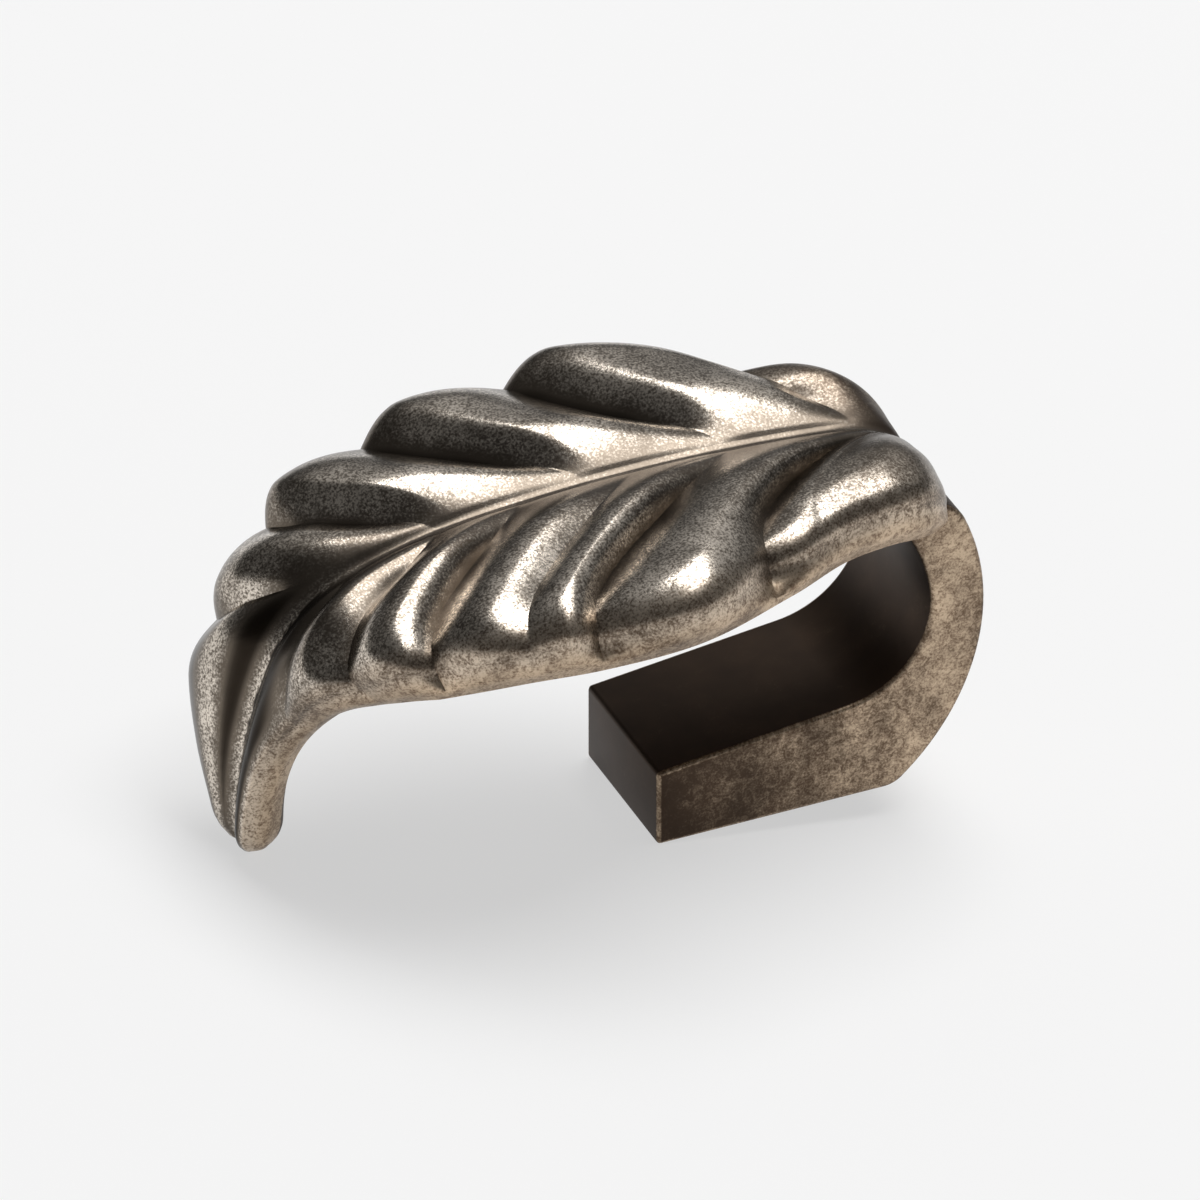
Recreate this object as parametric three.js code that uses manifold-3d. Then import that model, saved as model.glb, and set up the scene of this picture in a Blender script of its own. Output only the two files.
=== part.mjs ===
// Leaf finger pull: one casting, an arched leaf that a bent strap carries over a flat foot.
// Millimetres, +Z up. The origin is the centre of the foot's flat mounting face, at Z = 0.
// -X runs from the bend towards the leaf's tip. +Y is the leaf's far half, -Y its near half.
import * as THREE from "three";
import { mergeVertices } from "three/addons/utils/BufferGeometryUtils.js";
import Module from "manifold-3d";

// Foot and strap
const FOOT_LENGTH = 15.5; // flat of the mounting face, along X
const FOOT_END_HEIGHT = 5.4; // squared end of the foot
const FOOT_SLOPE = 6.3; // degrees that the foot's inner face climbs towards the bend
const STRAP_WIDTH = 10.8;
const STRAP_EDGE = 0.3; // softened long edges
const BEND_RADIUS = 15.5; // outer face of the bend
const BEND_HEIGHT = 12.3; // centre of the bend above the mounting face
const HEEL_RADIUS = 2.0; // between the mounting face and the bend's outer face
const BACK_THICKNESS = 3.6;
const INNER_CORNER_RADIUS = 6.3; // between the foot's inner face and the bend's
const TOP_ANGLE = 24.0; // degrees round the bend where the outer face rolls over into the leaf
const TOP_RADIUS = 3.0; // of that roll
const TOP_END_ANGLE = 100.0;
const ROOT_ANGLE = 29.5; // degrees round the bend where the inner face runs on straight
const ROOT_LENGTH = 3.0; // that straight run, up into the leaf

// Two blind screw holes in the mounting face
const HOLE_RADIUS = 1.65;
const HOLE_DEPTH = 4.0;
const HOLE_SPACING = 9.0;

// Leaf: its midrib is a chain of arcs that starts above the top of the bend
const LEAF_LENGTH = 60.6; // along the midrib
const LEAF_HALF_WIDTH = 15.0;
const LEAF_SEAT_ANGLE = 39.4; // degrees round the bend where the midrib starts
const LEAF_SEAT_RISE = 1.7; // height of the midrib's start outside the bend's outer face
const MIDRIB_HEADING = 9.5; // degrees that the midrib first climbs
const MIDRIB_ARCS = [
  { share: 0.487, turn: 15.0 },
  { share: 0.148, turn: 12.5 },
  { share: 0.139, turn: 50.0 },
  { share: 0.226, turn: 26.0 },
];

// Cross-section of the leaf
const SLENDER_HALF_WIDTH = 7.5; // half-width below which the heights shrink with the leaf
const GROOVE_HALF_WIDTH = 0.8;
const GROOVE_DEPTH = 0.7;
const SWELL_HEIGHT = 1.7; // rise of each half beside the groove
const SWELL_WIDTH = 5.0;
const SWELL_SHARE = 0.6; // most of a half's width that its swell takes
const VALLEY_DEPTH = 1.8;
const VALLEY_RUN_SHARE = 0.45; // share of the half-width over which a valley reaches its depth
const VALLEY_FADE_SHARE = 0.35; // share of its depth that a valley loses at the margin
const VALLEY_FADE_RUN_SHARE = 0.25;
const NOTCH_DEPTH = 1.5; // of the deepest notch in the margin
const EDGE_ROUND = 3.6; // width of the rolled margin
const EDGE_DROP = 2.2; // how far the roll falls to the side wall
const WALL_HEIGHT = 2.4;
const WALL_BULGE = 0.25; // outwards at half its height
const WALL_TUCK = 0.4; // inwards at its foot
const UNDERSIDE_DEPTH = 3.2; // underside below the midrib
const UNDERSIDE_POWER = 3; // power by which the underside falls to the wall
const BASE_DROP = 2.3; // how far the base end bends down over the strap
const BASE_BEND = 6.0; // length of that bend
const BASE_ROUND = 4.4; // nose of the base end
const BASE_BLUNT_SHARE = 0.25; // share of the section's height that is left at the very base
const BASE_CORNER_SHARE = 0.25; // share of the width that the base end's round corners take
const TIP_ROUND = 2.4;
const TIP_BLUNT_SHARE = 0.2; // share of the section that is left at the very tip

// Ridges and valleys of each half, from the base to the tip.
// root and end are shares of the midrib's length, where a line leaves it and where it meets the margin.
// rise is a share of VALLEY_DEPTH, reach a share of NOTCH_DEPTH, and lean bends the line's start to the tip.
const LINE_SWING_SHARE = 0.6; // how much a line without lean curves in an S
const NEAR_LINES = [
  { root: 0.0, end: 0.007, rise: -0.4, reach: -0.3, lean: 0.6 },
  { root: 0.003, end: 0.092, rise: -0.15, reach: 0.1, lean: 0.8 },
  { root: 0.013, end: 0.19, rise: -0.45, reach: -0.13, lean: 1.0 },
  { root: 0.023, end: 0.256, rise: -0.95, reach: -0.87, lean: 1.0 },
  { root: 0.107, end: 0.363, rise: 0.1, reach: 0.6, lean: 0.6 },
  { root: 0.201, end: 0.465, rise: -0.9, reach: -0.4, lean: 0.45 },
  { root: 0.254, end: 0.502, rise: 0.05, reach: 0.33, lean: 0.4 },
  { root: 0.31, end: 0.538, rise: -0.4, reach: 0.33, lean: 0.35 },
  { root: 0.363, end: 0.574, rise: 0.0, reach: 0.4, lean: 0.35 },
  { root: 0.439, end: 0.627, rise: -0.95, reach: -0.33, lean: 0.35 },
  { root: 0.479, end: 0.667, rise: 0.0, reach: 0.2, lean: 0.35 },
  { root: 0.528, end: 0.71, rise: -0.78, reach: -0.2, lean: 0.35 },
  { root: 0.571, end: 0.752, rise: 0.0, reach: 0.0, lean: 0.35 },
  { root: 0.617, end: 0.8, rise: -0.5, reach: -0.07, lean: 0.35 },
  { root: 0.776, end: 0.891, rise: -0.1, reach: 0.0, lean: 0.35 },
  { root: 1.0, end: 1.0, rise: 0.0, reach: 0.0, lean: 0.35 },
];
const FAR_LINES = [
  { root: 0.0, end: 0.012, rise: -0.45, reach: -0.3, lean: 0.5 },
  { root: 0.03, end: 0.086, rise: -0.25, reach: 0.0, lean: 0.5 },
  { root: 0.066, end: 0.15, rise: -0.6, reach: -0.6, lean: 0.3 },
  { root: 0.175, end: 0.32, rise: 0.05, reach: 0.13, lean: 0.3 },
  { root: 0.211, end: 0.38, rise: -1.0, reach: -0.85, lean: 0.3 },
  { root: 0.337, end: 0.498, rise: 0.05, reach: 0.13, lean: 0.3 },
  { root: 0.37, end: 0.55, rise: -0.95, reach: -0.5, lean: 0.3 },
  { root: 0.502, end: 0.647, rise: 0.05, reach: 0.13, lean: 0.3 },
  { root: 0.535, end: 0.683, rise: -0.83, reach: -0.6, lean: 0.3 },
  { root: 0.634, end: 0.752, rise: 0.0, reach: 0.0, lean: 0.3 },
  { root: 0.667, end: 0.789, rise: -0.45, reach: -0.4, lean: 0.3 },
  { root: 0.743, end: 0.858, rise: 0.0, reach: 0.2, lean: 0.3 },
  { root: 1.0, end: 1.0, rise: 0.0, reach: 0.0, lean: 0.3 },
];

// Half-width of each half as [share of the midrib's length, share of LEAF_HALF_WIDTH]
const NEAR_OUTLINE = [
  [0.0, 0.49], [0.04, 0.55], [0.08, 0.59], [0.15, 0.67], [0.23, 0.83], [0.35, 1.0], [0.46, 0.99],
  [0.56, 0.88], [0.63, 0.76], [0.68, 0.64], [0.71, 0.55], [0.76, 0.4], [0.82, 0.25], [0.87, 0.17],
  [0.94, 0.12], [1.0, 0.1],
];
const FAR_OUTLINE = [
  [0.0, 0.46], [0.05, 0.47], [0.08, 0.5], [0.15, 0.62], [0.23, 0.83], [0.35, 0.92], [0.46, 0.87],
  [0.58, 0.77], [0.68, 0.65], [0.76, 0.53], [0.84, 0.5], [0.91, 0.33], [0.96, 0.19], [1.0, 0.12],
];

// Fineness of the facets
const STEPS_PER_LINE = 7;
const GROOVE_STEPS = 2;
const TOP_STEPS = 10;
const RIM_CROWDING_POWER = 1.6; // power that draws the upper face's points towards the rim
const WALL_STEPS = 2;
const UNDERSIDE_STEPS = 3;
const BEND_STEPS = 12;
const HOLE_SIDES = 24;
const MIDLINE_LAP = 0.3; // each half reaches this far past the middle, so that the two join

const BODY_COLOUR = 0x6f6459;

const radians = THREE.MathUtils.degToRad;

function smooth(t) {
  const c = THREE.MathUtils.clamp(t, 0, 1);
  return c * c * (3 - 2 * c);
}

// A smooth curve through knots [x, value], read at x
function curveThrough(knots, x) {
  const last = knots.length - 1;
  let i = 0;
  while (i < last - 1 && x > knots[i + 1][0]) i += 1;
  const slope = (k) => {
    const before = knots[Math.max(k - 1, 0)];
    const after = knots[Math.min(k + 1, last)];
    return (after[1] - before[1]) / (after[0] - before[0]);
  };
  const span = knots[i + 1][0] - knots[i][0];
  const t = THREE.MathUtils.clamp((x - knots[i][0]) / span, 0, 1);
  const rise = knots[i + 1][1] - knots[i][1];
  const bend = (1 - t) * (slope(i) * span - rise) - t * (slope(i + 1) * span - rise);
  return knots[i][1] + rise * t + t * (1 - t) * bend;
}

// The bend's centre lies where its outer circle runs into the heel's round at the end of the flat
function bendCentre() {
  const toHeel = BEND_RADIUS - HEEL_RADIUS;
  const drop = BEND_HEIGHT - HEEL_RADIUS;
  return new THREE.Vector2(FOOT_LENGTH / 2 - Math.sqrt(toHeel ** 2 - drop ** 2), BEND_HEIGHT);
}

function onBend(radius, degrees) {
  const angle = radians(degrees);
  return bendCentre().add(new THREE.Vector2(Math.cos(angle), Math.sin(angle)).multiplyScalar(radius));
}

// Point of the midrib at distance s from the base end, and the angle that it climbs there
function midrib(s) {
  const point = onBend(BEND_RADIUS + LEAF_SEAT_RISE, LEAF_SEAT_ANGLE);
  let angle = radians(MIDRIB_HEADING);
  let left = s;
  for (const arc of MIDRIB_ARCS) {
    const length = arc.share * LEAF_LENGTH;
    const curvature = radians(arc.turn) / length;
    const next = angle - curvature * Math.min(left, length);
    point.x += (Math.sin(next) - Math.sin(angle)) / curvature;
    point.y += (Math.cos(next) - Math.cos(angle)) / curvature;
    angle = next;
    left = Math.max(left - length, 0);
  }
  return { x: point.x, z: point.y, angle };
}

// A line part of the way between two neighbours: round over a ridge, creased in a valley
function lineBetween(a, b, t) {
  const ease = b.rise > a.rise ? Math.sin((t * Math.PI) / 2) : 1 - Math.cos((t * Math.PI) / 2);
  return {
    root: THREE.MathUtils.lerp(a.root, b.root, t) * LEAF_LENGTH,
    end: THREE.MathUtils.lerp(a.end, b.end, t) * LEAF_LENGTH,
    lean: THREE.MathUtils.lerp(a.lean, b.lean, t),
    rise: THREE.MathUtils.lerp(a.rise, b.rise, ease) * VALLEY_DEPTH,
    reach: THREE.MathUtils.lerp(a.reach, b.reach, ease) * NOTCH_DEPTH,
  };
}

function alongLine(line, u) {
  const early = 1 - (1 - u) ** 2;
  const late = THREE.MathUtils.lerp(u, smooth(u), LINE_SWING_SHARE);
  return line.root + (line.end - line.root) * THREE.MathUtils.lerp(late, early, line.lean);
}

// Fall of a quarter-ellipse round, t from 0 where it starts to 1 at its end
function roundFall(t) {
  const c = THREE.MathUtils.clamp(t, 0, 1);
  return 1 - Math.sqrt(1 - c * c);
}

// Height of the leaf's upper face over the midrib's arc, at a share u of the half-width
function topHeight(line, halfWidth, u) {
  const y = halfWidth * u;
  const slender = Math.min(1, halfWidth / SLENDER_HALF_WIDTH);
  const groove = -GROOVE_DEPTH * (1 - smooth(y / GROOVE_HALF_WIDTH));
  const swellRun = Math.min(SWELL_WIDTH, SWELL_SHARE * halfWidth);
  const swellShare = THREE.MathUtils.clamp((y - GROOVE_HALF_WIDTH / 2) / swellRun, 0, 1);
  const swell = SWELL_HEIGHT * slender * Math.sin((swellShare * Math.PI) / 2);
  const shallow = line.rise < 0 ? 1 - VALLEY_FADE_SHARE * smooth((u - 1) / VALLEY_FADE_RUN_SHARE + 1) : 1;
  const relief = line.rise * smooth(u / VALLEY_RUN_SHARE) * shallow;
  const roundWidth = EDGE_ROUND * slender;
  const margin = -EDGE_DROP * slender * roundFall((y - halfWidth + roundWidth) / roundWidth);
  return groove + swell + relief + margin;
}

// Shares of the half-width where the upper face has its points, close together on the margin's round
function topShares(halfWidth) {
  const shares = [];
  const groove = Math.min(GROOVE_HALF_WIDTH / halfWidth, 0.5);
  for (let i = 0; i <= GROOVE_STEPS; i += 1) shares.push((groove * i) / GROOVE_STEPS);
  for (let i = 1; i <= TOP_STEPS; i += 1) {
    shares.push(groove + (1 - groove) * (1 - (1 - i / TOP_STEPS) ** RIM_CROWDING_POWER));
  }
  return shares;
}

// One closed loop round half of the leaf: upper face, side wall and underside, as { s, y, h }
function sectionLoop(line, outline) {
  const width = LEAF_HALF_WIDTH * curveThrough(outline, line.end / LEAF_LENGTH) + line.reach;
  const halfWidth = Math.max(width, GROOVE_HALF_WIDTH);
  const lapHeight = topHeight(line, halfWidth, 0) - MIDLINE_LAP;
  const loop = [{ s: line.root, y: -MIDLINE_LAP, h: lapHeight }];
  for (const u of topShares(halfWidth)) {
    loop.push({ s: alongLine(line, u), y: halfWidth * u, h: topHeight(line, halfWidth, u) });
  }
  const rim = loop[loop.length - 1];
  for (let i = 1; i <= WALL_STEPS; i += 1) {
    const t = i / WALL_STEPS;
    const bulge = WALL_BULGE * Math.sin(t * Math.PI) - WALL_TUCK * smooth(2 * t - 1);
    loop.push({ s: rim.s, y: rim.y + bulge, h: rim.h - WALL_HEIGHT * t });
  }
  const foot = loop[loop.length - 1];
  for (let i = 1; i <= UNDERSIDE_STEPS; i += 1) {
    const u = 1 - i / UNDERSIDE_STEPS;
    const h = THREE.MathUtils.lerp(-UNDERSIDE_DEPTH, foot.h, u ** UNDERSIDE_POWER);
    loop.push({ s: alongLine(line, u), y: foot.y * u, h });
  }
  loop.push({ s: line.root, y: -MIDLINE_LAP, h: -UNDERSIDE_DEPTH });
  return loop;
}

// Place a section point in space, drawn in round the tip's end and the base's nose
function placePoint(point, side) {
  const tipFall = roundFall((point.s - LEAF_LENGTH + TIP_ROUND) / TIP_ROUND);
  const baseFall = roundFall(1 - point.s / BASE_ROUND);
  const keepHeight = Math.max(1 - tipFall, TIP_BLUNT_SHARE) * (1 - baseFall * (1 - BASE_BLUNT_SHARE));
  const keepWidth = Math.max(1 - tipFall, TIP_BLUNT_SHARE) * (1 - baseFall * BASE_CORNER_SHARE);
  const drop = BASE_DROP * roundFall(1 - point.s / BASE_BEND);
  const h = THREE.MathUtils.lerp(-UNDERSIDE_DEPTH / 2, point.h, keepHeight) - drop;
  const at = midrib(point.s);
  return [at.x + Math.sin(at.angle) * h, side * point.y * keepWidth, at.z + Math.cos(at.angle) * h];
}

function halfLeafMesh(lines, outline, side) {
  const loops = [];
  for (let i = 0; i < lines.length - 1; i += 1) {
    const steps = i === lines.length - 2 ? STEPS_PER_LINE + 1 : STEPS_PER_LINE;
    for (let k = 0; k < steps; k += 1) {
      loops.push(sectionLoop(lineBetween(lines[i], lines[i + 1], k / STEPS_PER_LINE), outline));
    }
  }
  const size = loops[0].length;
  const vertices = loops.flatMap((loop) => loop.flatMap((point) => placePoint(point, side)));
  const faces = [];
  const face = (a, b, c) => faces.push(...(side > 0 ? [a, c, b] : [a, b, c]));
  for (let row = 0; row < loops.length - 1; row += 1) {
    for (let k = 0; k < size; k += 1) {
      const a = row * size + k;
      const b = row * size + ((k + 1) % size);
      face(a, a + size, b);
      face(b, a + size, b + size);
    }
  }
  const endCap = (row, turned) => {
    const hub = vertices.length / 3;
    const mean = (axis) => loops[row].reduce((sum, point) => sum + point[axis], 0) / size;
    vertices.push(...placePoint({ s: mean("s"), y: mean("y"), h: mean("h") }, side));
    for (let k = 0; k < size; k += 1) {
      const a = row * size + k;
      const b = row * size + ((k + 1) % size);
      if (turned) face(b, a, hub);
      else face(a, b, hub);
    }
  };
  endCap(0, false);
  endCap(loops.length - 1, true);
  return { vertices: new Float32Array(vertices), faces: new Uint32Array(faces) };
}

// Side view of the foot and bend: mounting face, heel, outer bend, top in the leaf, inner bend, foot
function strapShape() {
  const centre = bendCentre();
  const slope = Math.tan(radians(FOOT_SLOPE));
  const lean = Math.cos(radians(FOOT_SLOPE));
  const innerRadius = BEND_RADIUS - BACK_THICKNESS;
  const end = -FOOT_LENGTH / 2;
  const heel = new THREE.Vector2(FOOT_LENGTH / 2, HEEL_RADIUS);
  const heelAngle = Math.atan2(heel.y - centre.y, heel.x - centre.x);

  // The inner corner's round touches the foot's sloped face and the bend's inner circle
  const lift = FOOT_END_HEIGHT + INNER_CORNER_RADIUS / lean;
  const reach = innerRadius - INNER_CORNER_RADIUS;
  const onFoot = (x) => new THREE.Vector2(x, lift + slope * (x - end));
  const along = onFoot(centre.x).sub(centre).y;
  const across = Math.sqrt(reach ** 2 * (1 + slope ** 2) - along ** 2);
  const corner = onFoot(centre.x + (across - slope * along) / (1 + slope ** 2));
  const cornerAngle = Math.atan2(corner.y - centre.y, corner.x - centre.x);

  const top = onBend(BEND_RADIUS - TOP_RADIUS, TOP_ANGLE);
  const rootAngle = radians(ROOT_ANGLE);
  const upward = new THREE.Vector2(-Math.sin(rootAngle), Math.cos(rootAngle));
  const root = onBend(innerRadius, ROOT_ANGLE).addScaledVector(upward, ROOT_LENGTH);

  const shape = new THREE.Shape();
  shape.moveTo(end, 0);
  shape.lineTo(heel.x, 0);
  shape.absarc(heel.x, heel.y, HEEL_RADIUS, -Math.PI / 2, heelAngle, false);
  shape.absarc(centre.x, centre.y, BEND_RADIUS, heelAngle, radians(TOP_ANGLE), false);
  shape.absarc(top.x, top.y, TOP_RADIUS, radians(TOP_ANGLE), radians(TOP_END_ANGLE), false);
  shape.lineTo(root.x, root.y);
  shape.absarc(centre.x, centre.y, innerRadius, rootAngle, cornerAngle, true);
  shape.absarc(corner.x, corner.y, INNER_CORNER_RADIUS, cornerAngle, radians(FOOT_SLOPE - 90), true);
  shape.lineTo(end, FOOT_END_HEIGHT);
  shape.closePath();
  return shape;
}

// The outline's points, without the doubled ones where an arc begins
function cleanOutline(shape) {
  const points = shape.getPoints(BEND_STEPS);
  const kept = points.filter((point, i) => i === 0 || point.distanceTo(points[i - 1]) > 1e-6);
  if (kept[0].distanceTo(kept[kept.length - 1]) < 1e-6) kept.pop();
  return new THREE.Shape(kept);
}

function strapGeometry() {
  const geometry = new THREE.ExtrudeGeometry(cleanOutline(strapShape()), {
    depth: STRAP_WIDTH - 2 * STRAP_EDGE,
    bevelThickness: STRAP_EDGE,
    bevelSize: STRAP_EDGE,
    bevelOffset: -STRAP_EDGE,
    bevelSegments: 2,
  });
  geometry.translate(0, 0, STRAP_EDGE - STRAP_WIDTH / 2);
  geometry.rotateX(Math.PI / 2);
  return geometry;
}

function holeGeometry(x) {
  const length = HOLE_DEPTH * 2;
  const geometry = new THREE.CylinderGeometry(HOLE_RADIUS, HOLE_RADIUS, length, HOLE_SIDES);
  geometry.rotateX(Math.PI / 2);
  geometry.translate(x, 0, HOLE_DEPTH - length / 2);
  return geometry;
}

const wasm = await Module();
wasm.setup();

function solidFromMesh({ vertices, faces }) {
  return new wasm.Manifold(new wasm.Mesh({ numProp: 3, vertProperties: vertices, triVerts: faces }));
}

function solidFromGeometry(geometry) {
  geometry.deleteAttribute("normal");
  geometry.deleteAttribute("uv");
  const merged = mergeVertices(geometry, 1e-4);
  const faces = new Uint32Array(merged.index.array);
  return solidFromMesh({ vertices: merged.attributes.position.array, faces });
}

function geometryFromSolid(solid) {
  const { vertProperties, triVerts } = solid.getMesh();
  const geometry = new THREE.BufferGeometry();
  geometry.setAttribute("position", new THREE.BufferAttribute(vertProperties, 3));
  geometry.setIndex(new THREE.BufferAttribute(triVerts, 1));
  geometry.computeVertexNormals();
  return geometry;
}

function leafPull() {
  const far = solidFromMesh(halfLeafMesh(FAR_LINES, FAR_OUTLINE, 1));
  const near = solidFromMesh(halfLeafMesh(NEAR_LINES, NEAR_OUTLINE, -1));
  const strap = solidFromGeometry(strapGeometry());
  let body = far.add(near).add(strap);
  for (const x of [-HOLE_SPACING / 2, HOLE_SPACING / 2]) {
    body = body.subtract(solidFromGeometry(holeGeometry(x)));
  }
  const material = new THREE.MeshStandardMaterial({ color: BODY_COLOUR, roughness: 0.35, metalness: 1 });
  const mesh = new THREE.Mesh(geometryFromSolid(body), material);
  mesh.name = "leaf_pull";
  return mesh;
}

const group = new THREE.Group();
group.add(leafPull());

export default group;
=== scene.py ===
# Leaf finger pull, lying on a pale studio table: one antiqued metal casting, an arched leaf that a
# bent strap carries over a flat foot. Metres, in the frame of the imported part: the origin is the
# centre of the foot's mounting face, -X runs to the leaf's tip and +Y is the leaf's far half.
import math
from collections import namedtuple
from itertools import pairwise

import bmesh
import bpy
from mathutils import Matrix, Vector
from mathutils.kdtree import KDTree


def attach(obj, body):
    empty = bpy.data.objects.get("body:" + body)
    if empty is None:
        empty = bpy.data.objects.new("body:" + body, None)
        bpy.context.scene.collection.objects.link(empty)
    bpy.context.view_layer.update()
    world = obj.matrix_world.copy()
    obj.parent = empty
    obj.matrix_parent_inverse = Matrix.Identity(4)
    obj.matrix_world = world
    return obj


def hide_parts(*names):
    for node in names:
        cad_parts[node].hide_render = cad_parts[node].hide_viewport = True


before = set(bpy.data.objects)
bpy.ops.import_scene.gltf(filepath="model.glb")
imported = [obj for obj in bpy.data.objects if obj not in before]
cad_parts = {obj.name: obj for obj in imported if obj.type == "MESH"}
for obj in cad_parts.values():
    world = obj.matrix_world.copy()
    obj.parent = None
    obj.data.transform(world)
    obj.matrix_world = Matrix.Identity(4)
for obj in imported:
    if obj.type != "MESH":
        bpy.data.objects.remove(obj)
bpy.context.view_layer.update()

MM = 0.001


# Camera
# It looks down on the leaf's near half and into the bend, from the tip's side, through a long lens
# that keeps parallel edges nearly parallel.
VIEW_AZIMUTH = math.radians(-24)
VIEW_ELEVATION = math.radians(34)
VIEW_DISTANCE = 1.0
VIEW_WIDTH = 75 * MM
AIM_RIGHT = -8.46 * MM  # middle of the picture, from the origin
AIM_UP = 10.75 * MM
SENSOR_WIDTH = 36.0  # in Blender's own millimetres

camera = bpy.data.objects.new("camera", bpy.data.cameras.new("camera"))
bpy.context.scene.collection.objects.link(camera)
bpy.context.scene.camera = camera
camera.data.sensor_width = SENSOR_WIDTH
camera.data.lens = SENSOR_WIDTH * VIEW_DISTANCE / VIEW_WIDTH
to_camera = Vector((
    math.sin(VIEW_AZIMUTH) * math.cos(VIEW_ELEVATION),
    -math.cos(VIEW_AZIMUTH) * math.cos(VIEW_ELEVATION),
    math.sin(VIEW_ELEVATION),
))
camera.rotation_euler = to_camera.to_track_quat("Z", "Y").to_euler()
right, up = (camera.rotation_euler.to_matrix() @ Vector(axis) for axis in ((1, 0, 0), (0, 1, 0)))
camera.location = right * AIM_RIGHT + up * AIM_UP + to_camera * VIEW_DISTANCE


# Strap and foot
# A flat bar, cast in one with the leaf: a squared foot with a flat mounting face and two blind screw
# holes, a heel, and a round bend that thins towards the top and rolls over into the leaf's base.
FOOT_LENGTH = 15.5 * MM
FOOT_END_HEIGHT = 5.4 * MM
FOOT_SLOPE = math.radians(6.3)
STRAP_WIDTH = 10.8 * MM
STRAP_EDGE = 0.3 * MM
BEND_RADIUS = 15.5 * MM
BEND_HEIGHT = 12.3 * MM
HEEL_RADIUS = 2.0 * MM
BACK_THICKNESS = 3.6 * MM
INNER_CORNER_RADIUS = 6.3 * MM
TOP_ANGLE = math.radians(24)
TOP_RADIUS = 3.0 * MM
TOP_END_ANGLE = math.radians(100)
ROOT_ANGLE = math.radians(29.5)
ROOT_LENGTH = 3.0 * MM
HOLE_RADIUS = 1.65 * MM
HOLE_DEPTH = 4.0 * MM
HOLE_SPACING = 9.0 * MM
ARC_STEP = math.radians(2.5)
CORNER_ANGLE = math.radians(30)
EDGE_SEGMENTS = 4
HOLE_SEGMENTS = 48

# Each vertex carries its wear, how far the patina is rubbed back there, lowered on the leaf's far rim
# and walls as painted shade, and its tarnish, how brown it is
SIDE_WEAR_AT_FOOT = 0.2
SIDE_WEAR_AT_BEND = 0.95
SIDE_WEAR_RUN = 22.5 * MM
SIDE_WEAR_INSET = 0.35 * MM
EDGE_WEAR = 0.75
FACE_WEAR = 0.15
ON_FACE = 0.02 * MM  # a vertex this near to a face counts as on it

bend_reach = math.sqrt((BEND_RADIUS - HEEL_RADIUS) ** 2 - (BEND_HEIGHT - HEEL_RADIUS) ** 2)
bend_centre = Vector((FOOT_LENGTH / 2 - bend_reach, BEND_HEIGHT))


def clamp(value):
    return min(max(value, 0.0), 1.0)


def lerp(a, b, t):
    return a + (b - a) * t


def smooth(t):
    c = clamp(t)
    return c * c * (3 - 2 * c)


def around(centre, radius, angle):
    return centre + Vector((math.cos(angle), math.sin(angle))) * radius


def arc(centre, radius, start, end):
    steps = max(2, round(abs(end - start) / ARC_STEP))
    return [around(centre, radius, start + (end - start) * k / steps) for k in range(steps + 1)]


def strap_outline():
    """Side view of the foot and the bend, as points in X and Z"""
    slope = math.tan(FOOT_SLOPE)
    inner_radius = BEND_RADIUS - BACK_THICKNESS
    foot_end = -FOOT_LENGTH / 2
    heel = Vector((FOOT_LENGTH / 2, HEEL_RADIUS))
    heel_angle = math.atan2(heel.y - bend_centre.y, heel.x - bend_centre.x)
    lift = FOOT_END_HEIGHT + INNER_CORNER_RADIUS / math.cos(FOOT_SLOPE)
    reach = inner_radius - INNER_CORNER_RADIUS
    along = lift + slope * (bend_centre.x - foot_end) - bend_centre.y
    across = math.sqrt(reach ** 2 * (1 + slope ** 2) - along ** 2)
    corner_x = bend_centre.x + (across - slope * along) / (1 + slope ** 2)
    corner = Vector((corner_x, lift + slope * (corner_x - foot_end)))
    corner_angle = math.atan2(corner.y - bend_centre.y, corner.x - bend_centre.x)
    top = around(bend_centre, BEND_RADIUS - TOP_RADIUS, TOP_ANGLE)
    upward = Vector((-math.sin(ROOT_ANGLE), math.cos(ROOT_ANGLE)))
    root = around(bend_centre, inner_radius, ROOT_ANGLE) + upward * ROOT_LENGTH
    points = [Vector((foot_end, 0))]
    points += arc(heel, HEEL_RADIUS, -math.pi / 2, heel_angle)
    points += arc(bend_centre, BEND_RADIUS, heel_angle, TOP_ANGLE)[1:]
    points += arc(top, TOP_RADIUS, TOP_ANGLE, TOP_END_ANGLE)[1:]
    points.append(root)
    points += arc(bend_centre, inner_radius, ROOT_ANGLE, corner_angle)
    points += arc(corner, INNER_CORNER_RADIUS, corner_angle, FOOT_SLOPE - math.pi / 2)[1:]
    points.append(Vector((foot_end, FOOT_END_HEIGHT)))
    return points


def mesh_object(name, bm):
    mesh = bpy.data.meshes.new(name)
    bm.to_mesh(mesh)
    bm.free()
    made = bpy.data.objects.new(name, mesh)
    bpy.context.scene.collection.objects.link(made)
    return made


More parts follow.
